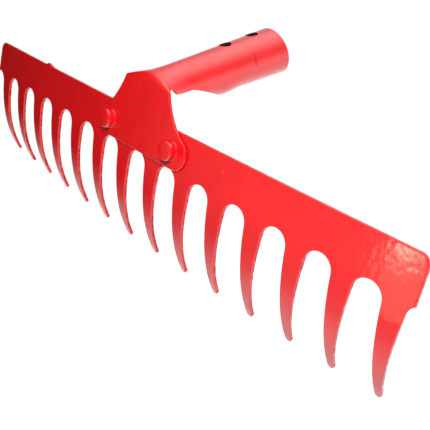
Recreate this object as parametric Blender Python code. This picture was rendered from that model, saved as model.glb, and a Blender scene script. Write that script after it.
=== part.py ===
"""Fourteen-tooth steel rake head: tooth blade, socket bracket and two rivets.

Frame: +X runs along the blade, +Y points behind it towards the handle and +Z is up,
away from the tooth tips.  The origin lies on the blade's back face, midway between
the two rivets and level with them.
"""

import math

import bmesh
import bpy
from mathutils import Matrix, Vector

MM = 0.001

# Sheet, fits and gaps
BLADE_T = 2.0 * MM              # blade plate
BRACKET_T = 1.5 * MM            # bracket sheet
CONTACT_GAP = 0.3 * MM          # between pieces that touch
HAIR = 0.0001 * MM              # two heights closer than this are the same height
BOW_RADIUS = 1970.0 * MM        # plan bow, ends swept back to +Y

# Blade plate.  Heights are above the gap roots until LEVEL is taken off.
TEETH = 14
PITCH = 26.0 * MM
GAP_R = 7.4 * MM                # round root of each gap
BLADE_RISE = 20.3 * MM          # root to top edge at the middle
END_REACH = 182.0 * MM          # where the two camber values below apply
TOP_CAMBER = 1.8 * MM           # top edge falls by this at END_REACH
ROOT_CAMBER = 2.0 * MM          # gap roots fall by this at END_REACH
END_LEFT = -184.6 * MM
END_RIGHT = 177.6 * MM
END_CORNER_R = 5.2 * MM

# Teeth
TOOTH_DROP = 57.6 * MM          # root to tip, measured straight down
TIP_LIFT = 1.5 * MM             # tips rise by this at END_REACH
TIP_HALF = 1.9 * MM             # half width where the round tip starts
TIP_R = 1.9 * MM
HOOK = 17.0 * MM                # how far a tip is swept back
HOOK_SHARE = 0.68               # share of the hook that grows as the square of the depth

# Rivets
RIVET_X = 27.7 * MM
LEVEL = 9.9 * MM                # rivet line above the gap roots
SHANK_R = 3.0 * MM
HEAD_R = 5.5 * MM               # at the foot of the head
HEAD_FLAT_R = 4.6 * MM          # flat face of the head
HEAD_EDGE_R = 0.6 * MM          # round between the face and the flaring side
HEAD_BRIM = 0.5 * MM
HEAD_H = 4.6 * MM
TAIL_R = 4.8 * MM
TAIL_BRIM = 0.7 * MM
TAIL_DOME = 1.5 * MM
HOLE_R = SHANK_R + CONTACT_GAP

# Bracket flange.  Heights are above the gap roots.
LOBE_X = 30.8 * MM
LOBE_Z = 8.9 * MM
LOBE_R = 8.6 * MM
LOBE_END_DEG = 62.8             # where the round lobe runs into the flank
FLANK_LEAVE = 9.8 * MM          # pull of the flank's curve where it leaves the lobe
FLANK_ARRIVE = 4.0 * MM         # pull of the same curve where it meets the crease
CREASE_HALF = 19.0 * MM         # half width at the crease
CREASE_Z = 39.3 * MM            # height of the crease's ends; its middle meets the socket's top line
FOLD_LEG = 3.4 * MM             # the crease is rounded over this much each side
RELIEF = 3.0 * MM               # depth of the small notch behind each end of the crease
RELIEF_AT = 5.8 * MM            # its middle, back from the crease along the neck
RELIEF_REACH = 3.6 * MM         # and how far it reaches to either side of that
SOCKET_X = -2.0 * MM            # the socket stands this far to one side of the rivets' middle
LEAN_FROM = 14.0 * MM           # height where the flange starts to lean that way

# Socket
SOCKET_RISE = math.radians(20.2)
MOUTH_Y = 87.7 * MM             # mouth centre, from the blade's front face
MOUTH_Z = 62.7 * MM             # mouth centre, above the gap roots
MOUTH_R = 14.2 * MM
MOUTH_SLANT = math.radians(6.5)         # the mouth is cut this far off square, longer below
TAPER = 0.027                   # radius lost per length going in
SEAM_LENGTH = 45.0 * MM         # closed tube, mouth to the open neck
SEAM_SLIT = 0.6 * MM
SEAM_FLARE = 1.0 * MM           # the sheet's lips stand this far out where the seam starts
FLARE_REACH = 12.0 * MM         # and draw in again over this length
NECK_SAG = 0.3 * MM             # the neck's lower edges start this far above the axis
NECK_FALL_AT = 74.5 * MM        # from this depth they slope down to the seam
NECK_FALL_ROUND = 6.0 * MM      # length over which that slope sets in
NECK_FALL = 0.58                # slope they reach
NECK_INSET = 0.8 * MM           # the neck starts this much narrower each side than the crease
NECK_FORMED = 72.0 * MM         # depth where the neck has the socket's own radius
SCREW_HOLE_R = 3.4 * MM
SCREW_HOLES = (15.4 * MM, 36.1 * MM)    # depths from the mouth
SCREW_TURN = math.radians(7.0)  # the holes sit this far round from the top

# Facets
ARC_STEPS = 8
TOOTH_STEPS = 9
TIP_STEPS = 4
TIP_TURN = math.radians(75.0)   # how far round the tip's circle goes before its flat
LOBE_STEPS = 7
FLANK_STEPS = 7
FOLD_STEPS = 8
NECK_STEP = 3.2 * MM
ACROSS = 32                     # facets across the bracket's sheet
RIVET_SIDES = 28
HOLE_SIDES = 24

RED = (0.62, 0.012, 0.014, 1.0)


def clear_scene():
    for item in list(bpy.data.objects):
        bpy.data.objects.remove(item, do_unlink=True)


def paint(name):
    material = bpy.data.materials.new(name)
    material.use_nodes = True
    shader = material.node_tree.nodes["Principled BSDF"]
    shader.inputs["Base Color"].default_value = RED
    shader.inputs["Roughness"].default_value = 0.28
    shader.inputs["Metallic"].default_value = 0.0
    return material


def add_object(name, mesh_data, material=None):
    item = bpy.data.objects.new(name, mesh_data)
    bpy.context.collection.objects.link(item)
    if material is not None:
        mesh_data.materials.append(material)
    return item


def mesh_from_bmesh(name, bm):
    bmesh.ops.recalc_face_normals(bm, faces=bm.faces)
    mesh = bpy.data.meshes.new(name)
    bm.to_mesh(mesh)
    bm.free()
    mesh.shade_smooth()
    mesh.set_sharp_from_angle(angle=math.radians(35.0))
    return mesh


# ---------------------------------------------------------------- shared shapes


def bowed(x, y, z):
    """Wrap a flat layout onto the plan bow: x runs along it, y is its depth behind the front."""
    angle = x / BOW_RADIUS
    reach = BOW_RADIUS - y
    return Vector((reach * math.sin(angle), BOW_RADIUS - reach * math.cos(angle) - BLADE_T, z - LEVEL))


# ---------------------------------------------------------------- tooth blade


def hook_at(down):
    """Sweep of the tooth and its slope, at a fraction of the way down it."""
    sweep = HOOK * (HOOK_SHARE * down ** 2 + (1.0 - HOOK_SHARE) * down ** 4)
    slope = HOOK / TOOTH_DROP * (2.0 * HOOK_SHARE * down + 4.0 * (1.0 - HOOK_SHARE) * down ** 3)
    return sweep, slope


def blade_point(x, z, depth):
    """A point of the plate: z is above the root line, depth goes in from the front face."""
    down = max(-z, 0.0) / TOOTH_DROP
    up = max(z, 0.0) / BLADE_RISE
    camber = TIP_LIFT * down - ROOT_CAMBER * (1.0 - down) - (TOP_CAMBER - ROOT_CAMBER) * up
    camber *= (x / END_REACH) ** 2
    sweep, slope = hook_at(down)
    tilt = math.atan(slope)
    return bowed(x, sweep + depth * math.cos(tilt), z + camber + depth * math.sin(tilt))


def tooth_rows(centre):
    """Left and right edge points of a tooth from its root line to its tip."""
    root_z = -GAP_R
    root_half = PITCH / 2.0 - GAP_R
    tip_z = -TOOTH_DROP + TIP_R
    rows = []
    for step in range(1, TOOTH_STEPS + 1):
        share = step / TOOTH_STEPS
        half = root_half + (TIP_HALF - root_half) * share
        rows.append((centre - half, centre + half, root_z + (tip_z - root_z) * share))
    for step in range(1, TIP_STEPS + 1):
        angle = TIP_TURN * step / TIP_STEPS
        half = TIP_HALF * math.cos(angle)
        rows.append((centre - half, centre + half, tip_z - TIP_R * math.sin(angle)))
    return rows


def gap_arch(centre):
    """Points of a gap's round root from left to right; the outermost two stop at the plate's ends."""
    first = max(-GAP_R, END_LEFT - centre)
    last = min(GAP_R, END_RIGHT - centre)
    turn_from = math.acos(first / GAP_R)
    turn_to = math.acos(last / GAP_R)
    points = []
    for step in range(ARC_STEPS + 1):
        angle = turn_from + (turn_to - turn_from) * step / ARC_STEPS
        points.append((centre + GAP_R * math.cos(angle), -GAP_R + GAP_R * math.sin(angle)))
    return points


def lower_line():
    """The plate's lower line, left to right, along the gap arches and across the tooth roots."""
    line = []
    for gap in range(TEETH + 1):
        line.extend(gap_arch((gap - TEETH / 2.0) * PITCH))
    return line


def top_height(x):
    """Height of the top edge, with the two outer corners rounded."""
    inset = min(x - END_LEFT, END_RIGHT - x)
    if inset >= END_CORNER_R:
        return BLADE_RISE
    across = END_CORNER_R - inset
    return BLADE_RISE - END_CORNER_R + math.sqrt(max(END_CORNER_R ** 2 - across ** 2, 0.0))


def corner_columns(end, direction):
    """Extra columns that carry the round outer corner at one end of the plate."""
    return [end + direction * END_CORNER_R * (1.0 - math.cos(math.radians(angle)))
            for angle in (25.0, 45.0, 65.0, 90.0)]


def lower_height(line, x):
    for (x0, z0), (x1, z1) in zip(line, line[1:]):
        if x0 <= x <= x1:
            return z0 + (z1 - z0) * (x - x0) / (x1 - x0)
    raise ValueError("x lies beyond the plate")


def make_blade(material):
    bm = bmesh.new()
    line = lower_line()
    extra = corner_columns(END_LEFT, 1.0) + corner_columns(END_RIGHT, -1.0)
    line = sorted(line + [(x, lower_height(line, x)) for x in extra])

    def pair(x, z):
        return (bm.verts.new(blade_point(x, z, 0.0)), bm.verts.new(blade_point(x, z, BLADE_T)))

    def panel(pairs):
        bm.faces.new([front for front, back in pairs])
        bm.faces.new([back for front, back in reversed(pairs)])

    def rim(a, b):
        bm.faces.new((a[0], a[1], b[1], b[0]))

    lower = [pair(x, z) for x, z in line]
    upper = [pair(x, top_height(x)) for x, z in line]
    roots = [index for index, (x, z) in enumerate(line) if abs(z + GAP_R) < HAIR]
    for index in range(len(line) - 1):
        panel([lower[index], lower[index + 1], upper[index + 1], upper[index]])
        rim(upper[index], upper[index + 1])
        if index not in roots or index + 1 not in roots:
            rim(lower[index + 1], lower[index])
    rim(lower[0], upper[0])
    rim(upper[-1], lower[-1])

    for tooth in range(TEETH):
        centre = (tooth - (TEETH - 1) / 2.0) * PITCH
        root_half = PITCH / 2.0 - GAP_R + HAIR
        above = [lower[index] for index in roots if abs(line[index][0] - centre) < root_half]
        for x0, x1, z in tooth_rows(centre):
            below = [pair(x0, z), pair(x1, z)]
            panel(below + above[::-1])
            rim(above[0], below[0])
            rim(below[1], above[-1])
            above = below
        rim(above[0], above[1])
    return add_object("tooth_blade", mesh_from_bmesh("tooth_blade", bm), material)


# ---------------------------------------------------------------- socket bracket

AXIS = Vector((0.0, math.cos(SOCKET_RISE), math.sin(SOCKET_RISE)))
SOCKET_UP = Vector((0.0, -math.sin(SOCKET_RISE), math.cos(SOCKET_RISE)))
MOUTH = Vector((SOCKET_X, MOUTH_Y, MOUTH_Z))


def socket_radius(depth):
    return MOUTH_R - TAPER * depth


def top_line(depth):
    """Outer top of the socket and neck, at a depth from the mouth along the axis."""
    return MOUTH - AXIS * depth + SOCKET_UP * socket_radius(depth)


def crease_depth():
    """Depth at which the top line reaches the flange's front face."""
    front = -(CONTACT_GAP + BRACKET_T)
    near = top_line(0.0)
    far = top_line(100.0 * MM)
    return 100.0 * MM * (near.y - front) / (near.y - far.y)


def crease_arch():
    """Rise of the crease's middle over its ends."""
    return top_line(crease_depth()).z - CREASE_Z


def edge_angle(depth):
    """Half angle that the sheet covers around the socket axis, from the top."""
    radius = socket_radius(depth)
    closed = math.pi - SEAM_SLIT / 2.0 / radius
    if depth <= SEAM_LENGTH:
        return closed
    reach = NECK_FALL_AT - min(depth, NECK_FALL_AT)
    height = NECK_SAG - NECK_FALL * (math.hypot(NECK_FALL_ROUND, reach) - NECK_FALL_ROUND)
    return min(math.acos(max(height / radius, -1.0)), closed)


def neck_section(depth):
    """Curvature, half developed width, section top and section up vector at a depth."""
    crease = crease_depth()
    if depth <= NECK_FORMED:
        radius = socket_radius(depth)
        return 1.0 / radius, edge_angle(depth) * radius, top_line(depth), SOCKET_UP
    share = (crease - depth) / (crease - NECK_FORMED)
    arch = crease_arch()
    crease_radius = (CREASE_HALF ** 2 + arch ** 2) / (2.0 * arch)
    crease_width = crease_radius * math.asin(CREASE_HALF / crease_radius) - NECK_INSET
    formed_radius = socket_radius(NECK_FORMED)
    formed_width = edge_angle(NECK_FORMED) * formed_radius
    ease = share * (2.0 - share)
    curvature = (1.0 - ease) / crease_radius + ease / formed_radius
    width = (1.0 - ease) * crease_width + ease * formed_width
    up = (Vector((0.0, 0.0, 1.0)) * (1.0 - share) + SOCKET_UP * share).normalized()
    return curvature, width, top_line(depth), up


def sheet_point(depth, across):
    """Outer point and outward normal of the neck or socket; across runs from -1 to 1."""
    curvature, width, top, up = neck_section(depth)
    turn = curvature * width * across
    normal = Vector((math.sin(turn), 0.0, 0.0)) + up * math.cos(turn)
    point = top + (normal - up) / curvature + normal * seam_flare(depth, turn)
    return point, normal


def seam_flare(depth, turn):
    """How far the sheet's lower lips stand out about the start of the seam."""
    near = max(1.0 - abs(depth - SEAM_LENGTH) / FLARE_REACH, 0.0)
    return SEAM_FLARE * near * near * (3.0 - 2.0 * near) * max(-math.cos(turn), 0.0)


def relief(back):
    """Share of its width that the sheet loses in the small notch behind each end of the crease."""
    off = min(abs(back - RELIEF_AT) / RELIEF_REACH, 1.0)
    return RELIEF / CREASE_HALF * math.cos(math.pi / 2.0 * off) ** 2


def mouth_point(across, inset):
    """A point of the slanted mouth face, at a distance in from the outer surface."""
    point, normal = sheet_point(0.0, across)
    point = point - normal * inset
    return point - AXIS * (point - MOUTH).dot(SOCKET_UP) * math.tan(MOUTH_SLANT)


def flange_outline():
    """Right-hand edge of the flange, from its lower corner up to the crease."""
    points = []
    for step in range(LOBE_STEPS + 1):
        angle = math.radians(-90.0 + (90.0 + LOBE_END_DEG) * step / LOBE_STEPS)
        points.append(Vector((LOBE_X + LOBE_R * math.cos(angle), LOBE_Z + LOBE_R * math.sin(angle))))
    start = points[-1]
    end = Vector((CREASE_HALF, CREASE_Z))
    lobe_end = math.radians(LOBE_END_DEG)
    leave = start + Vector((-math.sin(lobe_end), math.cos(lobe_end))) * FLANK_LEAVE
    arrive = end - Vector((0.0, FLANK_ARRIVE))
    for step in range(1, FLANK_STEPS + 1):
        t = step / FLANK_STEPS
        s = 1.0 - t
        points.append(start * s ** 3 + leave * 3.0 * s * s * t + arrive * 3.0 * s * t * t + end * t ** 3)
    return points


def flange_point(edge, across):
    """Front point of the flange on the row that ends at an outline point."""
    foot = LOBE_Z - LOBE_R
    arch = crease_arch() * (1.0 - abs(across) ** 1.7) * ((edge.y - foot) / (CREASE_Z - foot)) ** 2
    lean = max((edge.y - LEAN_FROM) / (CREASE_Z - LEAN_FROM), 0.0)
    x = edge.x * across + SOCKET_X * lean * (2.0 - lean)
    bow = x * x / (2.0 * BOW_RADIUS)
    return Vector((x, bow - CONTACT_GAP - BRACKET_T, edge.y + arch))


def sheet_column(across):
    """Outer points and normals of one column of the bracket, flange foot to socket mouth."""
    front = Vector((0.0, -1.0, 0.0))
    outline = flange_outline()
    rows = [(flange_point(edge, across), front) for edge in outline if CREASE_Z - edge.y > FOLD_LEG * 1.2]
    for step in range(FOLD_STEPS + 1):
        t = step / FOLD_STEPS
        s = 1.0 - t
        notched = across * (1.0 - relief(FOLD_LEG * t * t))
        corner = flange_point(outline[-1], notched)
        below_corner = flange_point(outline[-2], notched)
        fold_start = corner - (corner - below_corner).normalized() * FOLD_LEG
        neck_start, neck_normal = sheet_point(crease_depth() - FOLD_LEG, notched)
        point = fold_start * s * s + corner * 2.0 * s * t + neck_start * t * t
        normal = (front * s + neck_normal * t).normalized()
        rows.append((point, normal))
    for depth in depth_stations():
        notched = across * (1.0 - relief(crease_depth() - depth))
        rows.append(sheet_point(depth, notched))
    return rows


def depth_stations():
    """Depths of the neck and socket rows, from just behind the crease to near the mouth."""
    stations = [crease_depth() - RELIEF_AT - RELIEF_REACH * share for share in (0.0, 0.5)]
    depth = crease_depth() - RELIEF_AT - RELIEF_REACH
    while depth > SEAM_LENGTH + 1.9 * NECK_STEP:
        stations.append(depth)
        depth -= NECK_STEP
    stations += [SEAM_LENGTH + NECK_STEP * share for share in (1.3, 0.8, 0.4, 0.12)]
    stations += [SEAM_LENGTH * share for share in (1.0, 0.9, 0.75, 0.5, 0.25)]
    return stations


def make_bracket(material):
    bm = bmesh.new()
    outer = []
    inner = []
    shift = Vector((0.0, BLADE_T, LEVEL))
    for index in range(ACROSS + 1):
        across = -1.0 + 2.0 * index / ACROSS
        rows = sheet_column(across)
        outside = [point for point, normal in rows] + [mouth_point(across, 0.0)]
        inside = [point - normal * BRACKET_T for point, normal in rows] + [mouth_point(across, BRACKET_T)]
        outer.append([bm.verts.new(point - shift) for point in outside])
        inner.append([bm.verts.new(point - shift) for point in inside])
    last = len(outer[0]) - 1
    for i in range(ACROSS):
        for j in range(last):
            bm.faces.new((outer[i][j], outer[i + 1][j], outer[i + 1][j + 1], outer[i][j + 1]))
            bm.faces.new((inner[i][j + 1], inner[i + 1][j + 1], inner[i + 1][j], inner[i][j]))
        bm.faces.new((inner[i][0], inner[i + 1][0], outer[i + 1][0], outer[i][0]))
        bm.faces.new((outer[i][last], outer[i + 1][last], inner[i + 1][last], inner[i][last]))
    for j in range(last):
        bm.faces.new((outer[0][j], outer[0][j + 1], inner[0][j + 1], inner[0][j]))
        bm.faces.new((inner[ACROSS][j], inner[ACROSS][j + 1], outer[ACROSS][j + 1], outer[ACROSS][j]))
    return add_object("socket_bracket", mesh_from_bmesh("socket_bracket", bm), material)


# ---------------------------------------------------------------- holes and rivets


def cylinder_mesh(name, radius, length):
    bm = bmesh.new()
    bmesh.ops.create_cone(
        bm, cap_ends=True, segments=HOLE_SIDES, radius1=radius, radius2=radius, depth=length)
    return mesh_from_bmesh(name, bm)


def cut(target, cutter):
    cutter.hide_render = True
    cutter.display_type = "WIRE"
    modifier = target.modifiers.new("cut_" + cutter.name, "BOOLEAN")
    modifier.operation = "DIFFERENCE"
    modifier.solver = "EXACT"
    modifier.object = cutter


def rivet_frame(x):
    """Place and turn of a rivet on the bowed blade: its axis is square to the plate."""
    spot = bowed(x, 0.0, LEVEL)
    turn = Matrix.Rotation(x / BOW_RADIUS, 4, "Z")
    return Matrix.Translation(spot) @ turn


def cut_rivet_holes(blade, bracket):
    for name, x in (("left", -RIVET_X), ("right", RIVET_X)):
        cutter = add_object("rivet_hole_" + name, cylinder_mesh("rivet_hole_" + name, HOLE_R, 20.0 * MM))
        cutter.matrix_world = rivet_frame(x) @ Matrix.Rotation(math.radians(90.0), 4, "X")
        cut(blade, cutter)
        cut(bracket, cutter)


def cut_screw_holes(bracket):
    for number, depth in enumerate(SCREW_HOLES, start=1):
        name = "screw_hole_%d" % number
        cutter = add_object(name, cylinder_mesh(name, SCREW_HOLE_R, 12.0 * MM))
        centre = MOUTH - AXIS * depth - Vector((0.0, BLADE_T, LEVEL))
        outward = Matrix.Rotation(-SCREW_TURN, 4, AXIS) @ SOCKET_UP
        turned = Matrix.Rotation(-SCREW_TURN, 4, AXIS) @ Matrix.Rotation(SOCKET_RISE, 4, "X")
        cutter.matrix_world = Matrix.Translation(centre + outward * socket_radius(depth)) @ turned
        cut(bracket, cutter)


def rivet_profile():
    """Radius and depth behind the blade's front face, from the head's face to the tail's."""
    under_head = -(CONTACT_GAP + BRACKET_T + CONTACT_GAP)
    face = under_head - HEAD_H
    under_tail = BLADE_T + CONTACT_GAP
    profile = []
    for turn in (0.0, math.pi / 6.0, math.pi / 3.0, math.pi / 2.0):
        drop = HEAD_EDGE_R * (1.0 - math.cos(turn))
        profile.append((HEAD_FLAT_R + HEAD_EDGE_R * math.sin(turn), face + drop))
    profile += [(HEAD_R, under_head - HEAD_BRIM), (HEAD_R, under_head), (SHANK_R, under_head)]
    profile += [(SHANK_R, under_tail), (TAIL_R, under_tail)]
    for turn in (0.0, math.pi / 8.0, math.pi / 4.0, math.pi * 3.0 / 8.0):
        profile.append((TAIL_R * math.cos(turn), under_tail + TAIL_BRIM + TAIL_DOME * math.sin(turn)))
    return profile


def make_rivet(name, x, material):
    bm = bmesh.new()
    rings = []
    for radius, y in rivet_profile():
        ring = []
        for side in range(RIVET_SIDES):
            angle = 2.0 * math.pi * side / RIVET_SIDES
            ring.append(bm.verts.new((radius * math.cos(angle), y, radius * math.sin(angle))))
        rings.append(ring)
    for lower, upper in zip(rings, rings[1:]):
        for side in range(RIVET_SIDES):
            after = (side + 1) % RIVET_SIDES
            bm.faces.new((lower[side], lower[after], upper[after], upper[side]))
    bm.faces.new(rings[0])
    bm.faces.new(list(reversed(rings[-1])))
    rivet = add_object(name, mesh_from_bmesh(name, bm), material)
    rivet.matrix_world = rivet_frame(x)
    return rivet


def main():
    clear_scene()
    blade = make_blade(paint("blade_paint"))
    bracket = make_bracket(paint("bracket_paint"))
    cut_rivet_holes(blade, bracket)
    cut_screw_holes(bracket)
    make_rivet("rivet_left", -RIVET_X, paint("rivet_left_paint"))
    make_rivet("rivet_right", RIVET_X, paint("rivet_right_paint"))


main()
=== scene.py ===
"""Looks of the fourteen-tooth steel rake head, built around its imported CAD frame.

The painted pieces are modelled again here as fine meshes on the CAD model's own dimensions:
rounded plate edges, round tooth tips, lipped screw holes and turned rivets. Lengths are in
metres: +X along the blade, +Y behind it towards the handle, +Z away from the tooth tips.
"""

import math

import bmesh
import bpy
from mathutils import Matrix, Vector, noise


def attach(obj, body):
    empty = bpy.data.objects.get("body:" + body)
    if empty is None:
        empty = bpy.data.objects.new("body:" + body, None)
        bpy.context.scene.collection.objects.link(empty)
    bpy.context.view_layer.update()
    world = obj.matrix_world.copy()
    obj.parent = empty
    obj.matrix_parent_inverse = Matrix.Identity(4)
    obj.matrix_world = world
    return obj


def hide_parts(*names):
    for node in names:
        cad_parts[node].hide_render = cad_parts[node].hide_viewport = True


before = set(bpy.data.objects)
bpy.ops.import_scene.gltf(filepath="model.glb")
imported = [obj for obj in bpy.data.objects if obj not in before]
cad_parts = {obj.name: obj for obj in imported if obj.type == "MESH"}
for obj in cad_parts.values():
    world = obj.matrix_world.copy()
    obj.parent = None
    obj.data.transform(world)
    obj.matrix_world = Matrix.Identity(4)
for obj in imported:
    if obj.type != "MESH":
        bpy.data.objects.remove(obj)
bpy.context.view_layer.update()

MM = 0.001
BODY = "root"

# ---------------------------------------------------------------- dimensions shared with the CAD

BLADE_T = 2.0 * MM
BRACKET_T = 1.5 * MM
CONTACT_GAP = 0.3 * MM
BOW_RADIUS = 1970.0 * MM

TEETH = 14
PITCH = 26.0 * MM
GAP_R = 7.4 * MM
BLADE_RISE = 20.3 * MM
END_REACH = 182.0 * MM
TOP_CAMBER = 1.8 * MM
ROOT_CAMBER = 2.0 * MM
END_LEFT = -184.6 * MM
END_RIGHT = 177.6 * MM
END_CORNER_R = 5.2 * MM

TOOTH_DROP = 57.6 * MM
TIP_LIFT = 1.5 * MM
TIP_R = 1.9 * MM
HOOK = 17.0 * MM
HOOK_SHARE = 0.68

RIVET_X = 27.7 * MM
LEVEL = 9.9 * MM
SHANK_R = 3.0 * MM
HOLE_R = SHANK_R + CONTACT_GAP
HEAD_R = 5.5 * MM
HEAD_FLAT_R = 4.4 * MM
HEAD_EDGE_R = 0.8 * MM
HEAD_BRIM = 0.5 * MM
HEAD_H = 4.6 * MM
TAIL_R = 4.8 * MM
TAIL_BRIM = 0.7 * MM
TAIL_DOME = 1.5 * MM

LOBE_X = 30.8 * MM
LOBE_Z = 8.9 * MM
LOBE_R = 8.6 * MM
LOBE_END_DEG = 62.8
FLANK_LEAVE = 9.8 * MM
FLANK_ARRIVE = 4.0 * MM
CREASE_HALF = 19.0 * MM
CREASE_Z = 39.3 * MM
FOLD_LEG = 3.4 * MM
RELIEF = 3.0 * MM
RELIEF_AT = 5.8 * MM
RELIEF_REACH = 3.6 * MM
SOCKET_X = -2.0 * MM
LEAN_FROM = 14.0 * MM

SOCKET_RISE = math.radians(20.2)
MOUTH_Y = 87.7 * MM
MOUTH_Z = 62.7 * MM
MOUTH_R = 14.2 * MM
MOUTH_SLANT = math.radians(6.5)
TAPER = 0.027
SEAM_LENGTH = 45.0 * MM
SEAM_SLIT = 0.6 * MM
NECK_SAG = 0.3 * MM
NECK_FALL_AT = 74.5 * MM
NECK_FALL_ROUND = 6.0 * MM
NECK_FALL = 0.58
SEAM_FLARE = 1.0 * MM
FLARE_REACH = 12.0 * MM
NECK_INSET = 0.8 * MM
NECK_FORMED = 72.0 * MM
SCREW_HOLE_R = 3.4 * MM
SCREW_HOLES = (15.4 * MM, 36.1 * MM)
SCREW_TURN = math.radians(7.0)

# ---------------------------------------------------------------- fine detail added here

FRONT_EDGE_R = 0.5 * MM         # rounding of the plate's front edges, paint included
BACK_EDGE_R = 0.35 * MM
SHEET_EDGE_R = 0.55 * MM        # the same on the bracket's outer side
SHEET_BACK_R = 0.3 * MM
EDGE_STEPS = 4
WAVE = 0.10 * MM                # slow unevenness of the pressed plate
WAVE_SPAN = 45.0 * MM

FAN_SIDE = 16                   # mesh steps up the middle line between two gaps
FAN_TOP = 16                    # and along the top edge over one gap
FAN_RINGS = 8                   # from a gap's edge out to those lines
END_TOP = (10, 6)               # along the top over the left and the right end gap
CORNER_STEPS = 8
TOOTH_ROWS = 34
TIP_ROWS = 6

BURR_X = -111.0 * MM            # a raised shear burr on the top edge
BURR_H = 1.5 * MM
BURR_RISE = 2.2 * MM
BURR_FALL = 8.0 * MM

COLUMNS = 96                    # mesh steps across the bracket's sheet
LOBE_STEPS = 26
FLANK_STEPS = 26
FOLD_ROWS = 16
HOLE_COLUMN = 46                # mesh column that runs through the screw holes
HOLE_CELLS = 5                  # the polar patch around a hole is this many cells each way
HOLE_WINDOW = 4.6 * MM
HOLE_OUTER = 4.2 * MM
HOLE_RINGS = (0.0, 0.16, 0.34, 0.55, 0.78, 1.0)
LIP_H = 0.26 * MM               # raised lip around a screw hole
LIP_R = 3.75 * MM

LATHE_SIDES = 64
HAIR = 0.0005 * MM              # two layout points closer than this are one

NECK_MARK_AT = 66.5 * MM        # forming grooves: depth from the mouth, turn off the top, and size
NECK_MARK_TURNS = (-10.0, 48.0)
SOCKET_MARK_AT = 26.0 * MM
SOCKET_MARK_TURNS = (48.0, 92.0)
MARK_FADE = 12.0
MARK_WIDTH = 0.8 * MM
MARK_DEEP = 0.22 * MM

HOLE_SHADE_REACH = 0.25 * MM         # the painted shade on the wall of a screw hole ends this far outside its edge
SHADE_FROM = 1.5 * MM            # painted shade inside the socket, standing for the shade in the tube: where it begins and ends along the socket, over what lengths, and how deep under the outer skin
SHADE_FADE_IN = 6.0 * MM         # over what lengths, and how deep under the outer skin
SHADE_TO = 68.0 * MM
SHADE_FADE_OUT = 12.0 * MM
SHADE_UNDER = 0.08 * MM
SHADE_FADE_UNDER = 0.3 * MM

PRESS = 0.06 * MM               # a rivet's head and tail seat stand this far off their sheet


def spread(count):
    """Fractions from 0 to 1 that lie closest together near 0."""
    return [1.0 - math.cos(math.pi / 2.0 * step / count) for step in range(count + 1)]


def smooth(value):
    """0 below 0, 1 above 1 and an even S between them."""
    value = min(max(value, 0.0), 1.0)
    return value * value * (3.0 - 2.0 * value)


def line_points(start, end, count):
    return [(start[0] + (end[0] - start[0]) * step / count, start[1] + (end[1] - start[1]) * step / count)
            for step in range(count + 1)]


def arc_points(centre, radius, first, last, count):
    turns = [math.radians(first + (last - first) * step / count) for step in range(count + 1)]
    return [(centre[0] + radius * math.cos(turn), centre[1] + radius * math.sin(turn)) for turn in turns]


# ---------------------------------------------------------------- closed sheets with rounded edges


def edge_profile(front_r, back_r, thickness):
    """Inset and depth of each step round a sheet's edge, from its front face to its back face."""
    profile = []
    for step in range(EDGE_STEPS + 1):
        turn = math.pi / 2.0 * step / EDGE_STEPS
        profile.append((front_r * (1.0 - math.sin(turn)), front_r * (1.0 - math.cos(turn))))
    for step in range(EDGE_STEPS + 1):
        turn = math.pi / 2.0 * (1.0 - step / EDGE_STEPS)
        profile.append((back_r * (1.0 - math.sin(turn)), thickness - back_r * (1.0 - math.cos(turn))))
    return profile


def open_edges(faces):
    """Directed edges that only one face uses."""
    used = {(a, b) for face in faces for a, b in zip(face, face[1:] + face[:1])}
    return [(a, b) for a, b in used if (b, a) not in used]


def rub_of_step(step, count):
    """The rounded front stays glossy, the sheet's side is thinly coated and the back edge in between."""
    if step < EDGE_STEPS:
        return 0.0
    if step == EDGE_STEPS:
        return 0.7
    return 0.35 if step == count - 1 else 1.0


def solid_sheet(name, faces, place, profile, shade_at=None):
    """Two skins of the same layout, joined all round through the steps of an edge profile.

    place(inset, depth) gives every point of the layout for one step of the profile and
    the optional last function tells how much painted shade, the near-black colour that stands for the shade
    inside the socket, the sheet gets there."""
    bm = bmesh.new()
    wear = bm.verts.layers.float.new("edge")
    # painted shade: each point's share of the near-black colour that stands for the shade inside the socket
    shaded = bm.verts.layers.float.new("inside")
    border = sorted(open_edges(faces))
    on_border = sorted({corner for edge in border for corner in edge})
    rings = []
    for step, (inset, depth) in enumerate(profile):
        points = place(inset, depth)
        whole = step in (0, len(profile) - 1)
        ring = {}
        for corner in range(len(points)) if whole else on_border:
            ring[corner] = bm.verts.new(points[corner])
            if shade_at is not None:
                ring[corner][shaded] = shade_at(points[corner])
        for corner in on_border:
            ring[corner][wear] = rub_of_step(step, len(profile))
        rings.append(ring)
    for face in faces:
        bm.faces.new([rings[0][corner] for corner in face])
        bm.faces.new([rings[-1][corner] for corner in reversed(face)])
    for near, far in zip(rings, rings[1:]):
        for a, b in border:
            bm.faces.new((near[b], near[a], far[a], far[b]))
    return finish_mesh(name, bm)


def finish_mesh(name, bm):
    bmesh.ops.recalc_face_normals(bm, faces=bm.faces)
    mesh = bpy.data.meshes.new(name)
    bm.to_mesh(mesh)
    bm.free()
    mesh.shade_smooth()
    item = bpy.data.objects.new(name, mesh)
    bpy.context.collection.objects.link(item)
    return item


def weigh_normals(item):
    modifier = item.modifiers.new("even_normals", "WEIGHTED_NORMAL")
    modifier.mode = "FACE_AREA"
    modifier.weight = 90


# ---------------------------------------------------------------- tooth blade


def bowed(x, y, z):
    """Wrap a flat layout onto the plan bow: x runs along it, y is its depth behind the front."""
    angle = x / BOW_RADIUS
    reach = BOW_RADIUS - y
    return Vector((reach * math.sin(angle), BOW_RADIUS - reach * math.cos(angle) - BLADE_T, z - LEVEL))


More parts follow.
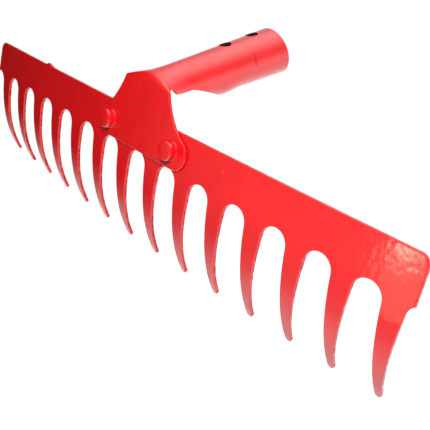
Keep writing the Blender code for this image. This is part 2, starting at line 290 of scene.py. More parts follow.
def burr_height(x, z):
    """The burr stands on the top edge: steep on its left, running out on its right."""
    away = x - BURR_X
    rise = smooth(1.0 + away / BURR_RISE) if away < 0.0 else smooth(1.0 - away / BURR_FALL)
    return BURR_H * rise * smooth((z - BLADE_RISE + 3.0 * MM) / (3.0 * MM))


def blade_point(x, z, depth):
    """A point of the plate: z is above the root line, depth goes in from the front face."""
    down = max(-z, 0.0) / TOOTH_DROP
    up = max(z, 0.0) / BLADE_RISE
    camber = TIP_LIFT * down - ROOT_CAMBER * (1.0 - down) - (TOP_CAMBER - ROOT_CAMBER) * up
    camber *= (x / END_REACH) ** 2
    sweep = HOOK * (HOOK_SHARE * down ** 2 + (1.0 - HOOK_SHARE) * down ** 4)
    slope = HOOK / TOOTH_DROP * (2.0 * HOOK_SHARE * down + 4.0 * (1.0 - HOOK_SHARE) * down ** 3)
    tilt = math.atan(slope)
    clear_of_bracket = smooth((abs(x) - 40.0 * MM) / (20.0 * MM))
    uneven = WAVE * clear_of_bracket * noise.noise(Vector((x, 0.0, z)) / WAVE_SPAN)
    height = z + camber + depth * math.sin(tilt) + burr_height(x, z)
    return bowed(x, sweep + depth * math.cos(tilt) + uneven, height)


def gap_fan(gap, inset):
    """Inner and outer points of the plate around one gap, going round it from right to left."""
    centre = (gap - TEETH / 2.0) * PITCH
    left = centre - PITCH / 2.0
    right = centre + PITCH / 2.0
    top = BLADE_RISE - inset
    foot = -GAP_R
    first_turn = 0.0
    last_turn = 180.0
    if gap == 0:
        last_turn = math.degrees(math.acos((END_LEFT + inset - centre) / (GAP_R + inset)))
        corner = (END_LEFT + END_CORNER_R, BLADE_RISE - END_CORNER_R)
        outer = line_points((right, foot), (right, top), FAN_SIDE)
        outer += line_points((right, top), (corner[0], top), END_TOP[0])[1:]
        outer += arc_points(corner, END_CORNER_R - inset, 90.0, 180.0, CORNER_STEPS)[1:]
    elif gap == TEETH:
        first_turn = math.degrees(math.acos((END_RIGHT - inset - centre) / (GAP_R + inset)))
        corner = (END_RIGHT - END_CORNER_R, BLADE_RISE - END_CORNER_R)
        outer = arc_points(corner, END_CORNER_R - inset, 0.0, 90.0, CORNER_STEPS)
        outer += line_points((corner[0], top), (left, top), END_TOP[1])[1:]
        outer += line_points((left, top), (left, foot), FAN_SIDE)[1:]
    else:
        outer = line_points((right, foot), (right, top), FAN_SIDE)
        outer += line_points((right, top), (left, top), FAN_TOP)[1:]
        outer += line_points((left, top), (left, foot), FAN_SIDE)[1:]
    inner = arc_points((centre, foot), GAP_R + inset, first_turn, last_turn, len(outer) - 1)
    return inner, outer


def tooth_grid(tooth, inset):
    """Rows of a tooth from its root line to the end of its round tip."""
    centre = (tooth - (TEETH - 1) / 2.0) * PITCH
    root_half = PITCH / 2.0 - GAP_R
    tip_z = -TOOTH_DROP + TIP_R
    across = [1.0 - share for share in spread(FAN_RINGS)]
    across = [-share for share in across] + across[-2::-1]
    rows = []
    for step in range(TOOTH_ROWS + 1):
        down = step / TOOTH_ROWS
        half = root_half + (TIP_R - root_half) * down - inset
        rows.append([(centre + half * share, -GAP_R + (tip_z + GAP_R) * down) for share in across])
    for step in range(1, TIP_ROWS + 1):
        radius = TIP_R - inset
        drop = radius * step / TIP_ROWS
        rows.append([(centre + radius * share, tip_z - drop * math.sqrt(1.0 - share * share))
                     for share in across])
    return rows


def blade_layout(inset):
    """Points and quads of the plate's face; the quads don't depend on the inset."""
    points = []
    quads = []

    def add_grid(rows):
        first = len(points)
        width = len(rows[0])
        for row in rows:
            points.extend(row)
        for j in range(len(rows) - 1):
            for i in range(width - 1):
                corner = first + j * width + i
                quads.append((corner, corner + width, corner + width + 1, corner + 1))

    for gap in range(TEETH + 1):
        inner, outer = gap_fan(gap, inset)
        rows = []
        for share in spread(FAN_RINGS):
            rows.append([(a[0] + (b[0] - a[0]) * share, a[1] + (b[1] - a[1]) * share)
                         for a, b in zip(inner, outer)])
        add_grid(rows[::-1])
    for tooth in range(TEETH):
        add_grid(tooth_grid(tooth, inset))
    return points, quads


def weld(points, quads):
    """Shared number of each point, and the faces that are left once equal points are one."""
    numbers = {}
    shared = [numbers.setdefault((round(x / HAIR), round(z / HAIR)), len(numbers)) for x, z in points]
    faces = []
    for quad in quads:
        face = []
        for corner in quad:
            if shared[corner] not in face:
                face.append(shared[corner])
        if len(face) > 2:
            faces.append(face)
    return shared, faces


def make_blade():
    points, quads = blade_layout(0.0)
    shared, faces = weld(points, quads)

    def place(inset, depth):
        placed = [None] * (max(shared) + 1)
        for number, (x, z) in zip(shared, blade_layout(inset)[0]):
            placed[number] = placed[number] or blade_point(x, z, depth)
        return placed

    return solid_sheet("painted_blade", faces, place, edge_profile(FRONT_EDGE_R, BACK_EDGE_R, BLADE_T))


# ---------------------------------------------------------------- socket bracket

AXIS = Vector((0.0, math.cos(SOCKET_RISE), math.sin(SOCKET_RISE)))
SOCKET_UP = Vector((0.0, -math.sin(SOCKET_RISE), math.cos(SOCKET_RISE)))
MOUTH = Vector((SOCKET_X, MOUTH_Y, MOUTH_Z))
FRONT = Vector((0.0, -1.0, 0.0))
TO_FRAME = Vector((0.0, BLADE_T, LEVEL))


def socket_radius(depth):
    return MOUTH_R - TAPER * depth


def top_line(depth):
    """Outer top of the socket and neck, at a depth from the mouth along the axis."""
    return MOUTH - AXIS * depth + SOCKET_UP * socket_radius(depth)


def crease_depth():
    """Depth at which the top line reaches the flange's front face."""
    front = -(CONTACT_GAP + BRACKET_T)
    near = top_line(0.0)
    far = top_line(100.0 * MM)
    return 100.0 * MM * (near.y - front) / (near.y - far.y)


CREASE_DEPTH = crease_depth()
CREASE_ARCH = top_line(CREASE_DEPTH).z - CREASE_Z


def edge_angle(depth):
    """Half angle that the sheet covers around the socket axis, from the top."""
    radius = socket_radius(depth)
    closed = math.pi - SEAM_SLIT / 2.0 / radius
    if depth <= SEAM_LENGTH:
        return closed
    reach = NECK_FALL_AT - min(depth, NECK_FALL_AT)
    height = NECK_SAG - NECK_FALL * (math.hypot(NECK_FALL_ROUND, reach) - NECK_FALL_ROUND)
    return min(math.acos(max(height / radius, -1.0)), closed)


def neck_section(depth):
    """Curvature, half developed width, section top and section up vector at a depth."""
    if depth <= NECK_FORMED:
        radius = socket_radius(depth)
        return 1.0 / radius, edge_angle(depth) * radius, top_line(depth), SOCKET_UP
    share = (CREASE_DEPTH - depth) / (CREASE_DEPTH - NECK_FORMED)
    crease_radius = (CREASE_HALF ** 2 + CREASE_ARCH ** 2) / (2.0 * CREASE_ARCH)
    crease_width = crease_radius * math.asin(CREASE_HALF / crease_radius) - NECK_INSET
    formed_radius = socket_radius(NECK_FORMED)
    formed_width = edge_angle(NECK_FORMED) * formed_radius
    ease = share * (2.0 - share)
    curvature = (1.0 - ease) / crease_radius + ease / formed_radius
    width = (1.0 - ease) * crease_width + ease * formed_width
    up = (Vector((0.0, 0.0, 1.0)) * (1.0 - share) + SOCKET_UP * share).normalized()
    return curvature, width, top_line(depth), up


def sheet_point(depth, across, inset):
    """Outer point, outward normal and turn of the neck or socket; across runs from -1 to 1."""
    curvature, width, top, up = neck_section(depth)
    step = 0.2 * MM
    steep = (neck_section(depth + step)[1] - neck_section(depth - step)[1]) / (2.0 * step)
    squeeze = inset * min(math.hypot(1.0, steep), 2.5)
    turn = curvature * (width - squeeze) * across
    normal = Vector((math.sin(turn), 0.0, 0.0)) + up * math.cos(turn)
    return top + (normal - up) / curvature + normal * seam_flare(depth, turn), normal, turn


def seam_flare(depth, turn):
    """How far the sheet's lower lips spring outward about the start of the seam."""
    near = smooth(1.0 - abs(depth - SEAM_LENGTH) / FLARE_REACH)
    return SEAM_FLARE * near * max(-math.cos(turn), 0.0)


def relief(back):
    """Share of its width that the sheet loses in the small notch behind each end of the crease."""
    off = min(abs(back - RELIEF_AT) / RELIEF_REACH, 1.0)
    return RELIEF / CREASE_HALF * math.cos(math.pi / 2.0 * off) ** 2


def outline_point(row, inset):
    """Right-hand edge of the flange: lobe rows by their angle, flank rows by their share."""
    kind, value = row
    if kind == "lobe":
        angle = math.radians(value)
        radius = LOBE_R - inset
        return Vector((LOBE_X + radius * math.cos(angle), LOBE_Z + radius * math.sin(angle)))
    lobe_end = math.radians(LOBE_END_DEG)
    start = Vector((LOBE_X + LOBE_R * math.cos(lobe_end), LOBE_Z + LOBE_R * math.sin(lobe_end)))
    leave = start + Vector((-math.sin(lobe_end), math.cos(lobe_end))) * FLANK_LEAVE
    end = Vector((CREASE_HALF, CREASE_Z))
    arrive = end - Vector((0.0, FLANK_ARRIVE))
    t = value
    s = 1.0 - t
    point = start * s ** 3 + leave * 3.0 * s * s * t + arrive * 3.0 * s * t * t + end * t ** 3
    along = (leave - start) * s * s + (arrive - leave) * 2.0 * s * t + (end - arrive) * t * t
    along.normalize()
    return point - Vector((along.y, -along.x)) * inset


def fold_foot():
    """Flank point one fold leg below the crease."""
    low = 0.0
    high = 1.0
    for _ in range(40):
        middle = (low + high) / 2.0
        if outline_point(("flank", middle), 0.0).y < CREASE_Z - FOLD_LEG:
            low = middle
        else:
            high = middle
    return outline_point(("flank", low), 0.0)


FOLD_FOOT = fold_foot()


def flange_point(edge, across):
    """Front point of the flange on the row that ends at an outline point."""
    foot = LOBE_Z - LOBE_R
    arch = CREASE_ARCH * (1.0 - abs(across) ** 1.7) * ((edge.y - foot) / (CREASE_Z - foot)) ** 2
    lean = max((edge.y - LEAN_FROM) / (CREASE_Z - LEAN_FROM), 0.0)
    x = edge.x * across + SOCKET_X * lean * (2.0 - lean)
    bow = x * x / (2.0 * BOW_RADIUS)
    return Vector((x, bow - CONTACT_GAP - BRACKET_T, edge.y + arch))


def fold_point(t, across, inset):
    """A point of the rounded crease, from the flange (t = 0) to the neck (t = 1)."""
    s = 1.0 - t
    across = across * (1.0 - relief(FOLD_LEG * t * t)) * (1.0 - inset / CREASE_HALF)
    corner = flange_point(Vector((CREASE_HALF, CREASE_Z)), across)
    below = flange_point(FOLD_FOOT, across)
    fold_start = corner - (corner - below).normalized() * FOLD_LEG
    neck_start, neck_normal, turn = sheet_point(CREASE_DEPTH - FOLD_LEG, across, 0.0)
    point = fold_start * s * s + corner * 2.0 * s * t + neck_start * t * t
    return point, (FRONT * s + neck_normal * t).normalized()


def even(start, end, count):
    """Values after start up to and including end."""
    return [start + (end - start) * step / count for step in range(1, count + 1)]


def sheet_rows():
    """Rows of the bracket from the flange's foot to the socket's mouth."""
    rows = [("lobe", -90.0)]
    rows += [("lobe", value) for value in even(-90.0, LOBE_END_DEG, LOBE_STEPS)]
    for value in even(0.0, 1.0, FLANK_STEPS):
        if CREASE_Z - outline_point(("flank", value), 0.0).y > FOLD_LEG * 1.08:
            rows.append(("flank", value))
    rows += [("fold", step / FOLD_ROWS) for step in range(FOLD_ROWS + 1)]
    far_hole, near_hole = SCREW_HOLES[1], SCREW_HOLES[0]
    depths = even(CREASE_DEPTH - FOLD_LEG, CREASE_DEPTH - RELIEF_AT - RELIEF_REACH, 10)
    depths += even(CREASE_DEPTH - RELIEF_AT - RELIEF_REACH, 69.0 * MM, 9)
    depths += even(69.0 * MM, 63.0 * MM, 12)
    depths += even(63.0 * MM, 51.0 * MM, 11)
    depths += even(51.0 * MM, SEAM_LENGTH, 16)
    depths += even(SEAM_LENGTH, far_hole + HOLE_WINDOW, 6)
    depths += even(far_hole + HOLE_WINDOW, far_hole - HOLE_WINDOW, 2 * HOLE_CELLS)
    depths += even(far_hole - HOLE_WINDOW, near_hole + HOLE_WINDOW, 20)
    depths += even(near_hole + HOLE_WINDOW, near_hole - HOLE_WINDOW, 2 * HOLE_CELLS)
    depths += even(near_hole - HOLE_WINDOW, 0.0, 10)
    rows += [("depth", value) for value in depths]
    return rows


def forming_mark(depth, turn):
    """Shallow grooves that the forming tools left across the neck and on the socket."""
    degrees = math.degrees(turn)
    cut = 0.0
    for at, (first, last) in ((NECK_MARK_AT, NECK_MARK_TURNS), (SOCKET_MARK_AT, SOCKET_MARK_TURNS)):
        groove = math.exp(-((depth - at) / MARK_WIDTH) ** 2)
        cut += groove * (smooth((degrees - first) / MARK_FADE) * smooth((last - degrees) / MARK_FADE))
    return -MARK_DEEP * cut


def slanted(point, depth, inset):
    """Cut the mouth off at its slant: the rows near it lean with it."""
    share = max(1.0 - depth / (10.0 * MM), 0.0)
    lean = (point - MOUTH).dot(SOCKET_UP) * math.tan(MOUTH_SLANT)
    return point - AXIS * share * (lean + inset)


def row_point(row, across, inset, deep):
    """A point of the bracket on one of its rows, at a depth in from its outer surface."""
    kind, value = row
    if kind in ("lobe", "flank"):
        return flange_point(outline_point(row, inset), across) - FRONT * deep
    if kind == "fold":
        point, normal = fold_point(value, across, inset)
        return point - normal * deep
    point, normal, turn = sheet_point(value, across * (1.0 - relief(CREASE_DEPTH - value)), inset)
    lift = forming_mark(value, turn) - deep
    return slanted(point + normal * lift, value, inset)


def hole_point(depth, turn, radius, spoke, deep):
    """A point around a screw hole, whose wall is straight through the sheet."""
    angle = 2.0 * math.pi * spoke / (8 * HOLE_CELLS)
    down = depth + radius * math.cos(angle)
    tube_radius = socket_radius(down) - deep
    turned = turn + math.asin(radius * math.sin(angle) / tube_radius)
    lip = LIP_H * smooth((HOLE_OUTER - radius) / (HOLE_OUTER - LIP_R)) * (1.0 - deep / BRACKET_T)
    lip *= 0.5 - 0.5 * math.sin(angle)
    normal = Vector((math.sin(turned), 0.0, 0.0)) + SOCKET_UP * math.cos(turned)
    return MOUTH - AXIS * down + normal * (tube_radius + lip)


def square_loop(row, column):
    """Grid places around a hole's patch, one per spoke, starting towards the neck."""
    n = HOLE_CELLS
    loop = [(-n, step) for step in range(0, n)]
    loop += [(step, n) for step in range(-n, n)]
    loop += [(n, step) for step in range(n, -n, -1)]
    loop += [(step, -n) for step in range(n, -n, -1)]
    loop += [(-n, step) for step in range(-n, 0)]
    return [(row + down, column + side) for down, side in loop]


def make_bracket():
    rows = sheet_rows()
    depth_row = {round(value / HAIR): number
                 for number, (kind, value) in enumerate(rows) if kind == "depth"}
    hole_rows = [depth_row[round(depth / HAIR)] for depth in SCREW_HOLES]
    width = COLUMNS + 1
    skipped = set()
    for hole_row in hole_rows:
        for j in range(hole_row - HOLE_CELLS, hole_row + HOLE_CELLS):
            for i in range(HOLE_COLUMN - HOLE_CELLS, HOLE_COLUMN + HOLE_CELLS):
                skipped.add((j, i))
    faces = []
    for j in range(len(rows) - 1):
        for i in range(COLUMNS):
            if (j, i) not in skipped:
                corner = j * width + i
                faces.append([corner, corner + 1, corner + width + 1, corner + width])
    count = len(rows) * width
    spokes = 8 * HOLE_CELLS
    for hole_row in hole_rows:
        outer = [j * width + i for j, i in square_loop(hole_row, HOLE_COLUMN)]
        rings = [[count + ring * spokes + spoke for spoke in range(spokes)]
                 for ring in range(len(HOLE_RINGS) + 1)]
        count += spokes * len(rings)
        for near, far in zip(rings, rings[1:] + [outer]):
            for spoke in range(spokes):
                after = (spoke + 1) % spokes
                faces.append([near[spoke], near[after], far[after], far[spoke]])

    def place(inset, deep):
        points = []
        for row in rows:
            for i in range(width):
                points.append(row_point(row, -1.0 + 2.0 * i / COLUMNS, inset, deep) - TO_FRAME)
        for hole_row, depth in zip(hole_rows, SCREW_HOLES):
            edge = SCREW_HOLE_R + inset
            ring = []
            for share in HOLE_RINGS:
                radius = edge + (HOLE_OUTER - edge) * share
                ring = [hole_point(depth, -SCREW_TURN, radius, spoke, deep) - TO_FRAME
                        for spoke in range(spokes)]
                points.extend(ring)
            square = [points[j * width + i] for j, i in square_loop(hole_row, HOLE_COLUMN)]
            points.extend([(a + b) / 2.0 for a, b in zip(ring, square)])
        return points

    profile = edge_profile(SHEET_EDGE_R, SHEET_BACK_R, BRACKET_T)
    return solid_sheet("painted_bracket", faces, place, profile, inside_socket)


def hole_axis(depth):
    """A screw hole's foot on the socket's axis and its direction outward."""
    outward = Vector((-math.sin(SCREW_TURN), 0.0, 0.0)) + SOCKET_UP * math.cos(SCREW_TURN)
    return MOUTH - AXIS * depth - TO_FRAME, outward


def inside_socket(point):
    """Painted shade: 1 on the socket's inner skin and on the walls of the screw holes, 0 on the outside;
    these parts get the near-black colour that stands for the shade inside the tube.
    """
    away = point + TO_FRAME - MOUTH
    depth = -away.dot(AXIS)
    below_skin = socket_radius(depth) - (away + AXIS * depth).length
    for hole_depth in SCREW_HOLES:
        centre, outward = hole_axis(hole_depth)
        off = point - centre
        aside = (off - outward * off.dot(outward)).length
        if off.dot(outward) > 0.0 and aside < SCREW_HOLE_R + HOLE_SHADE_REACH:
            return 1.0
    along = smooth((depth - SHADE_FROM) / SHADE_FADE_IN) * smooth((SHADE_TO - depth) / SHADE_FADE_OUT)
    return along * smooth((below_skin - SHADE_UNDER) / SHADE_FADE_UNDER)


# ---------------------------------------------------------------- rivets and their holes


def rivet_frame(x):
    """Place and turn of a rivet on the bowed blade: its axis is square to the plate."""
    return Matrix.Translation(bowed(x, 0.0, LEVEL)) @ Matrix.Rotation(x / BOW_RADIUS, 4, "Z")


def rivet_profile():
    """Radius and depth behind the blade's front face, from the head's middle to the tail's."""
    seat = -(CONTACT_GAP + BRACKET_T + PRESS)
    face = -(2.0 * CONTACT_GAP + BRACKET_T) - HEAD_H
    tail_seat = BLADE_T + PRESS
    profile = [(HEAD_FLAT_R * share, face + 0.12 * MM * share ** 2) for share in (0.12, 0.4, 0.7, 0.9)]
    for step in range(7):
        turn = math.radians(75.0) * step / 6
        drop = HEAD_EDGE_R * (1.0 - math.cos(turn))
        profile.append((HEAD_FLAT_R + HEAD_EDGE_R * math.sin(turn), face + 0.15 * MM + drop))
    shoulder = profile[-1]
    brim = (HEAD_R - 0.25 * MM, seat - HEAD_BRIM)
    for step in range(1, 8):
        t = step / 8
        pull = (shoulder[0] + 0.25 * MM, shoulder[1] + 0.8 * MM)
        s = 1.0 - t
        profile.append((shoulder[0] * s * s + pull[0] * 2 * s * t + brim[0] * t * t,
                        shoulder[1] * s * s + pull[1] * 2 * s * t + brim[1] * t * t))
    for turn in (0.0, 30.0, 60.0, 90.0):
        profile.append((HEAD_R - 0.25 * MM + 0.25 * MM * math.sin(math.radians(turn)),
                        seat - HEAD_BRIM + 0.3 * MM * (1.0 - math.cos(math.radians(turn)))))
    profile += [(HEAD_R, seat - 0.12 * MM), (HEAD_R - 0.12 * MM, seat), (SHANK_R, seat)]
    profile += [(SHANK_R, tail_seat), (TAIL_R - 0.12 * MM, tail_seat), (TAIL_R, tail_seat + 0.12 * MM)]
    for step in range(9):
        turn = math.radians(88.0) * step / 8
        dome = TAIL_DOME * math.sin(turn)
        profile.append((TAIL_R * math.cos(turn), BLADE_T + CONTACT_GAP + TAIL_BRIM + dome))
    return profile


def make_rivet(name, x, phase):
    """A turned rivet whose hammered head is slightly out of round."""
    bm = bmesh.new()
    wear = bm.verts.layers.float.new("edge")
    rings = []
    for radius, y in rivet_profile():
        ring = []
        rubbed = 0.55 if radius > HEAD_FLAT_R + 0.99 * HEAD_EDGE_R else 0.0
        for side in range(LATHE_SIDES):
            angle = 2.0 * math.pi * side / LATHE_SIDES
            uneven = 1.0
            if radius > SHANK_R * 1.05:
                uneven += (0.010 * math.sin(2.0 * angle + phase)
                           + 0.006 * math.sin(5.0 * angle + 2.0 * phase))
            vert = bm.verts.new((radius * uneven * math.cos(angle), y, radius * uneven * math.sin(angle)))
            vert[wear] = rubbed
            ring.append(vert)
        rings.append(ring)
    for lower, upper in zip(rings, rings[1:]):
        for side in range(LATHE_SIDES):
            after = (side + 1) % LATHE_SIDES
            bm.faces.new((lower[side], lower[after], upper[after], upper[side]))
    bm.faces.new(rings[0])
    bm.faces.new(list(reversed(rings[-1])))
    bm.transform(rivet_frame(x))
    return finish_mesh(name, bm)


def drill(item, places):
    """Cut the rivet holes out of a sheet, for good."""
    for x in places:
        bm = bmesh.new()
        bmesh.ops.create_cone(bm, cap_ends=True, segments=48,
                              radius1=HOLE_R, radius2=HOLE_R, depth=12.0 * MM)
        bm.transform(rivet_frame(x) @ Matrix.Rotation(math.radians(90.0), 4, "X"))
        cutter = finish_mesh("drill", bm)
        modifier = item.modifiers.new("drilled", "BOOLEAN")
        modifier.operation = "DIFFERENCE"
        modifier.solver = "EXACT"
        modifier.object = cutter
        evaluated = item.evaluated_get(bpy.context.evaluated_depsgraph_get())
        drilled = bpy.data.meshes.new_from_object(evaluated)
        item.modifiers.clear()
        item.data = drilled
        bpy.data.objects.remove(cutter, do_unlink=True)


# ---------------------------------------------------------------- paint


def add_node(tree, kind, **values):
    node = tree.nodes.new(kind)
    for name, value in values.items():
        if hasattr(node, name):
            setattr(node, name, value)
        else:
            node.inputs[name].default_value = value
    return node


def noise_node(tree, coordinates, scale, detail):
    node = add_node(tree, "ShaderNodeTexNoise", noise_dimensions="3D")
    node.inputs["Scale"].default_value = scale
    node.inputs["Detail"].default_value = detail
    tree.links.new(coordinates, node.inputs["Vector"])
    return node.outputs["Fac"]


def ramp_node(tree, value, stops):
    node = tree.nodes.new("ShaderNodeValToRGB")
    ramp = node.color_ramp
    while len(ramp.elements) < len(stops):
        ramp.elements.new(0.5)
    for element, (position, colour) in zip(ramp.elements, stops):
        element.position = position
        element.color = colour
    tree.links.new(value, node.inputs["Fac"])
    return node.outputs["Color"]


def grey(value):
    return (value, value, value, 1.0)


def math_node(tree, operation, *values):
    node = add_node(tree, "ShaderNodeMath", operation=operation)
    for socket, value in zip(node.inputs, values):
        if isinstance(value, float):
            socket.default_value = value
        else:
            tree.links.new(value, socket)
    return node.outputs["Value"]


def bump_node(tree, height, distance, strength, before=None):
    node = tree.nodes.new("ShaderNodeBump")
    node.inputs["Distance"].default_value = distance
    node.inputs["Strength"].default_value = strength
    tree.links.new(height, node.inputs["Height"])
    if before is not None:
        tree.links.new(before, node.inputs["Normal"])
    return node.outputs["Normal"]


RED = (0.82, 0.0082, 0.0100, 1.0)
RED_THIN = (0.76, 0.0072, 0.0096, 1.0)       # where the coat is thinner
RED_WORN = (0.36, 0.005, 0.009, 1.0)        # edges, where the coat has drawn back
SHADE_BLACK = (0.030, 0.009, 0.009, 1.0)      # painted shade: near black inside the socket and on the screw-hole walls, where shade falls
STEEL = (0.20, 0.17, 0.16, 1.0)             # bare metal in the deepest chips


def red_paint(name):
    """Sprayed gloss enamel on steel: orange peel, slow runs, dust nibs, rubbed edges and painted shade
    inside the socket.
    """
    material = bpy.data.materials.new(name)
    material.use_nodes = True
    tree = material.node_tree
    shader = tree.nodes["Principled BSDF"]
    place = tree.nodes.new("ShaderNodeTexCoord").outputs["Object"]

    coat = noise_node(tree, place, 70.0, 3.0)
    colour = ramp_node(tree, coat, [(0.36, RED_THIN), (0.60, RED)])

    edge = add_node(tree, "ShaderNodeAttribute", attribute_name="edge").outputs["Fac"]
    rub = noise_node(tree, place, 420.0, 4.0)
    rubbed = math_node(tree, "MULTIPLY", edge, rub)
    worn = ramp_node(tree, rubbed, [(0.30, grey(0.0)), (0.55, grey(1.0))])
    chipped = ramp_node(tree, rubbed, [(0.70, grey(0.0)), (0.73, grey(1.0))])
    mix = add_node(tree, "ShaderNodeMix", data_type="RGBA")
    tree.links.new(worn, mix.inputs["Factor"])
    tree.links.new(colour, mix.inputs["A"])
    mix.inputs["B"].default_value = RED_WORN
    chips = add_node(tree, "ShaderNodeMix", data_type="RGBA")
    tree.links.new(chipped, chips.inputs["Factor"])
    tree.links.new(mix.outputs["Result"], chips.inputs["A"])
    chips.inputs["B"].default_value = STEEL
    # painted shade: the socket's inside and the screw-hole walls are mixed towards near black, a little
    # unevenly, and lose gloss
    inside = add_node(tree, "ShaderNodeAttribute", attribute_name="inside").outputs["Fac"]
    shade_share = math_node(tree, "MULTIPLY", inside, math_node(tree, "MULTIPLY_ADD", rub, 0.2, 0.88))
    shaded = add_node(tree, "ShaderNodeMix", data_type="RGBA")
    tree.links.new(shade_share, shaded.inputs["Factor"])
    tree.links.new(chips.outputs["Result"], shaded.inputs["A"])
    shaded.inputs["B"].default_value = SHADE_BLACK
    tree.links.new(shaded.outputs["Result"], shader.inputs["Base Color"])
    dull = math_node(tree, "MAXIMUM", shade_share, math_node(tree, "MULTIPLY", worn, 0.75))
    gloss = math_node(tree, "SUBTRACT", 0.5, math_node(tree, "MULTIPLY", dull, 0.45))
    tree.links.new(gloss, shader.inputs["Specular IOR Level"])

    streaks = noise_node(tree, place, 160.0, 2.0)
    rough = ramp_node(tree, streaks, [(0.30, grey(0.08)), (0.70, grey(0.14))])
    tree.links.new(math_node(tree, "MULTIPLY_ADD", dull, 0.45, rough), shader.inputs["Roughness"])

    slow = noise_node(tree, place, 95.0, 2.0)
    peel = noise_node(tree, place, 430.0, 0.0)
    nibs = add_node(tree, "ShaderNodeTexVoronoi", feature="F1")
    nibs.inputs["Scale"].default_value = 260.0
    tree.links.new(place, nibs.inputs["Vector"])
    nib = ramp_node(tree, nibs.outputs["Distance"], [(0.0, grey(1.0)), (0.075, grey(0.0))])
    normal = bump_node(tree, slow, 0.05 * MM, 0.5)
    normal = bump_node(tree, peel, 0.05 * MM, 0.8, normal)
    normal = bump_node(tree, nib, 0.03 * MM, 0.3, normal)
    tree.links.new(normal, shader.inputs["Normal"])
    shader.inputs["Metallic"].default_value = 0.0
    shader.inputs["IOR"].default_value = 1.5
    return material


# ---------------------------------------------------------------- stage, light and camera


def make_floor(low_z):
    """A plain pale disc under the object, bright enough to look white; the paint's light and gloss don't
    see it.
    """
    bm = bmesh.new()
    bmesh.ops.create_circle(bm, cap_ends=True, segments=96, radius=0.8)
    bm.transform(Matrix.Translation((0.0, 0.0, low_z)))
    floor = finish_mesh("floor", bm)
    material = bpy.data.materials.new("pale_floor")
    material.use_nodes = True
    tree = material.node_tree
    shader = tree.nodes["Principled BSDF"]
    place = tree.nodes.new("ShaderNodeTexCoord").outputs["Object"]
    tone = ramp_node(tree, noise_node(tree, place, 6.0, 2.0), [(0.3, grey(0.86)), (0.7, grey(0.9))])
    tree.links.new(tone, shader.inputs["Base Color"])
    shader.inputs["Roughness"].default_value = 0.8
    shader.inputs["Emission Color"].default_value = grey(1.0)
    shader.inputs["Emission Strength"].default_value = 0.75
    floor.data.materials.append(material)
    floor.visible_glossy = False
    floor.visible_diffuse = False


DARK_SIDE = Vector((-0.94, 0.34, 0.0)).normalized()
FLOOR_SIDE = Vector((0.20, 0.50, -0.84)).normalized()
UP = Vector((0.0, 0.0, 1.0))
BEHIND = Vector((0.0, 1.0, 0.0))
FILL_FROM = Vector((-0.75, -0.66, 0.0)).normalized()
REFLECTION = 3.4                # strength of what the gloss reflects
ROOM_WHITE = 1.02               # what the camera sees around the object


def make_world():
    """White to the camera; the gloss sees a bright top and floor and a dark side, the paint a soft fill."""
    world = bpy.data.worlds.new("studio")
    bpy.context.scene.world = world
    world.use_nodes = True
    world.cycles.sampling_method = "NONE"
    tree = world.node_tree
    tree.nodes.clear()
    direction = tree.nodes.new("ShaderNodeTexCoord").outputs["Generated"]

    def facing(axis):
        towards = add_node(tree, "ShaderNodeVectorMath", operation="DOT_PRODUCT")
        tree.links.new(direction, towards.inputs[0])
        towards.inputs[1].default_value = axis
        return math_node(tree, "MULTIPLY_ADD", towards.outputs["Value"], 0.5, 0.5)

    def background(colour, strength):
        node = tree.nodes.new("ShaderNodeBackground")
        if colour is not None:
            tree.links.new(colour, node.inputs["Color"])
        node.inputs["Strength"].default_value = strength
        return node.outputs["Background"]

    def choose(test, yes, no):
        mix = tree.nodes.new("ShaderNodeMixShader")
        tree.links.new(test, mix.inputs["Fac"])
        tree.links.new(no, mix.inputs[1])
        tree.links.new(yes, mix.inputs[2])
        return mix.outputs["Shader"]

    def joined(a, b, blend):
        mix = add_node(tree, "ShaderNodeMix", data_type="RGBA", blend_type=blend)
        mix.inputs["Factor"].default_value = 1.0
        tree.links.new(a, mix.inputs["A"])
        tree.links.new(b, mix.inputs["B"])
        return mix.outputs["Result"]

    walls = ramp_node(tree, facing(DARK_SIDE), [
        (0.0, grey(0.03)), (0.06, grey(0.05)), (0.15, grey(0.20)), (0.27, grey(0.155)),
        (0.36, grey(0.21)), (0.533, grey(0.223)), (0.607, grey(0.197)), (0.648, grey(0.159)),
        (0.69, grey(0.118)), (0.735, grey(0.0735)), (0.75, grey(0.032)), (0.79, grey(0.012)),
        (0.845, grey(0.006)), (1.0, grey(0.006))])
    behind = ramp_node(tree, facing(BEHIND), [
        (0.50, grey(0.0)), (0.60, grey(0.155)), (0.69, grey(0.155)), (0.76, grey(0.25))])
    ceiling = ramp_node(tree, facing(UP), [
        (0.70, grey(0.0)), (0.75, grey(0.03)), (0.80, grey(0.08)), (0.85, grey(0.19)), (0.90, grey(0.43)),
        (0.94, grey(0.66)), (0.975, grey(0.90)), (1.0, grey(0.95))])
    ground = ramp_node(tree, facing(FLOOR_SIDE), [
        (0.50, grey(0.0)), (0.58, grey(0.11)), (0.64, grey(0.29)), (0.70, grey(0.43)), (0.775, grey(0.47)),
        (0.87, grey(0.38)), (0.93, grey(0.40)), (1.0, grey(0.36))])
    seen = joined(joined(joined(walls, behind, "LIGHTEN"), ceiling, "ADD"), ground, "ADD")
    reflected = background(seen, REFLECTION)
    around = ramp_node(tree, facing(FILL_FROM), [
        (0.0, grey(0.68)), (0.3, grey(0.48)), (0.7, grey(0.20)), (1.0, grey(0.14))])
    below = ramp_node(tree, facing(-UP), [(0.5, grey(0.0)), (1.0, grey(0.28))])
    fill = background(joined(around, below, "ADD"), 1.0)
    white = background(None, ROOM_WHITE)
    white.node.inputs["Color"].default_value = grey(1.0)
    path = tree.nodes.new("ShaderNodeLightPath")
    lit = choose(path.outputs["Is Diffuse Ray"], fill, reflected)
    output = tree.nodes.new("ShaderNodeOutputWorld")
    tree.links.new(choose(path.outputs["Is Camera Ray"], white, lit), output.inputs["Surface"])


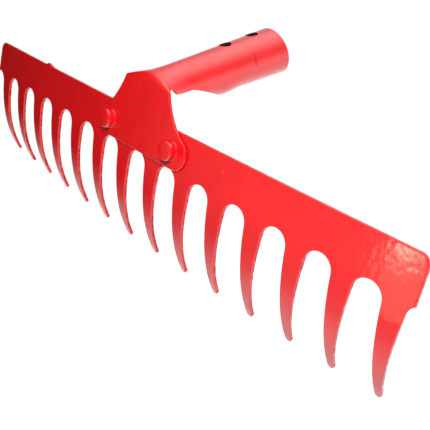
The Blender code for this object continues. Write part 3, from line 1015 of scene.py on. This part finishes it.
GLARE_TINT = (1.0, 0.88, 0.64)
RIGHT_END = (0.168, 0.005, 0.003)
LAMPS = (                       # name, place, aim, size, power, and whether only the gloss sees it
    ("key", (0.22, -0.24, 0.19), (0.05, 0.0, 0.0), (0.07, 0.07), 1.50, False),
    ("glare_core", (-0.073, -0.715, -0.218), RIGHT_END, (0.026, 0.020), 0.012, True),
    ("glare", (-0.071, -0.715, -0.222), RIGHT_END, (0.038, 0.030), 0.026, True),
    ("glare_wide", (-0.069, -0.715, -0.232), RIGHT_END, (0.052, 0.046), 0.040, True),
    ("glare_low", (-0.045, -0.715, -0.345), RIGHT_END, (0.13, 0.27), 0.20, True),
    ("glint", (0.43, -0.64, -0.20), (0.03, 0.0, 0.0), (0.03, 0.10), 0.28, True),
)


def area_light(name, place, aim, size, power, glossy):
    """A lamp that only lights (glossy False) or is only seen in the paint's gloss (glossy True)."""
    data = bpy.data.lights.new(name, "AREA")
    data.shape = "RECTANGLE"
    data.size, data.size_y = size
    data.energy = power
    lamp = bpy.data.objects.new(name, data)
    bpy.context.collection.objects.link(lamp)
    lamp.location = place
    lamp.rotation_mode = "QUATERNION"
    lamp.rotation_quaternion = (Vector(aim) - Vector(place)).to_track_quat("-Z", "Y")
    lamp.visible_camera = False
    lamp.visible_glossy = glossy
    lamp.visible_diffuse = not glossy
    if glossy:
        data.color = GLARE_TINT


CAMERA_PLACE = (0.29601, -0.24103, 0.09356)
CAMERA_TURN = (0.7624859, 0.3288110, 0.2394761)      # azimuth, elevation and roll, in radians


def make_camera():
    azimuth, elevation, roll = CAMERA_TURN
    flat_right = Vector((math.cos(azimuth), math.sin(azimuth), 0.0))
    back = Vector((math.sin(azimuth) * math.cos(elevation), -math.cos(azimuth) * math.cos(elevation),
                   math.sin(elevation)))
    flat_up = back.cross(flat_right)
    right = flat_right * math.cos(roll) + flat_up * math.sin(roll)
    up = flat_up * math.cos(roll) - flat_right * math.sin(roll)
    data = bpy.data.cameras.new("camera")
    data.sensor_width = 36.0
    data.lens = 60.0
    data.clip_start = 0.01
    data.clip_end = 20.0
    camera = bpy.data.objects.new("camera", data)
    bpy.context.collection.objects.link(camera)
    turn = Matrix((right, up, back)).transposed().to_4x4()
    camera.matrix_world = Matrix.Translation(CAMERA_PLACE) @ turn
    bpy.context.scene.camera = camera


make_camera()
make_world()
make_floor(-0.35)
for lamp in LAMPS:
    area_light(*lamp)

blade = make_blade()
bracket = make_bracket()
for sheet in (blade, bracket):
    drill(sheet, (-RIVET_X, RIVET_X))
    weigh_normals(sheet)
rivets = {
    "rivet_left": make_rivet("painted_rivet_left", -RIVET_X, 0.4),
    "rivet_right": make_rivet("painted_rivet_right", RIVET_X, 1.9),
}
stands_for = {"tooth_blade": blade, "socket_bracket": bracket, **rivets}
for node, piece in stands_for.items():
    piece.data.materials.clear()
    piece.data.materials.append(red_paint("enamel_" + node))
    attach(piece, BODY)
    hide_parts(node)

bpy.context.scene.view_settings.view_transform = "Standard"
